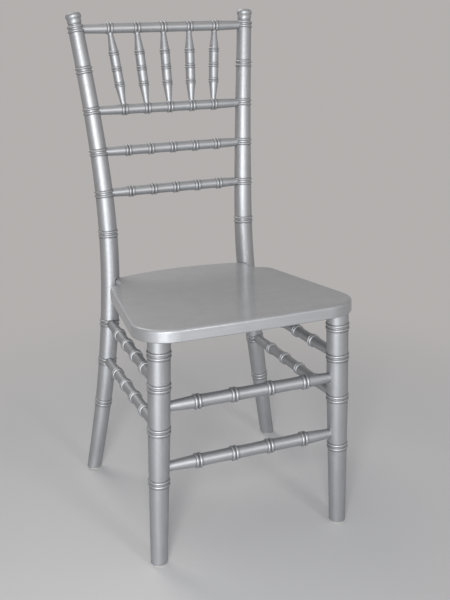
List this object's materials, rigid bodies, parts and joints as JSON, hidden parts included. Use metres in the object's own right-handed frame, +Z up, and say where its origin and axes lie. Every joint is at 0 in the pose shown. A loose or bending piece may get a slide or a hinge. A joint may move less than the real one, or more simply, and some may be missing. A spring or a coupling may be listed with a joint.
{
  "type": "chiavari chair",
  "caption": "Turned wooden dining chair with bead-ringed posts and legs, a spindle and ladder back, stretchers and a flat notched seat, painted metallic silver.",
  "frame": {"origin": "on the floor, in the middle of the chair's width and depth", "axes": "+Z up, -Y the way the sitter faces, X across the chair"},
  "size_m": [0.4298, 0.4864, 0.9161],
  "materials": {
    "silver_paint": "turned hardwood under satin metallic silver paint",
    "steel": "zinc plated",
    "plastic": "matt nylon"
  },
  "bodies": {
    "root": {"rear_post_left": "silver_paint", "rear_post_right": "silver_paint", "front_leg_left": "silver_paint", "front_leg_right": "silver_paint", "seat_board": "silver_paint", "top_rail": "silver_paint", "spindle_rail": "silver_paint", "upper_ladder_rail": "silver_paint", "lower_ladder_rail": "silver_paint", "spindle_1": "silver_paint", "spindle_2": "silver_paint", "spindle_3": "silver_paint", "spindle_4": "silver_paint", "spindle_5": "silver_paint", "front_stretcher_upper": "silver_paint", "front_stretcher_lower": "silver_paint", "side_stretcher_left_upper": "silver_paint", "side_stretcher_left_lower": "silver_paint", "side_stretcher_right_upper": "silver_paint", "side_stretcher_right_lower": "silver_paint", "rear_stretcher": "silver_paint", "screw_plugs": "silver_paint", "seat_screws": "steel", "glide_nails": "steel", "glide_front_left": "plastic", "glide_front_right": "plastic", "glide_rear_left": "plastic", "glide_rear_right": "plastic"}
  },
  "joints": []
}
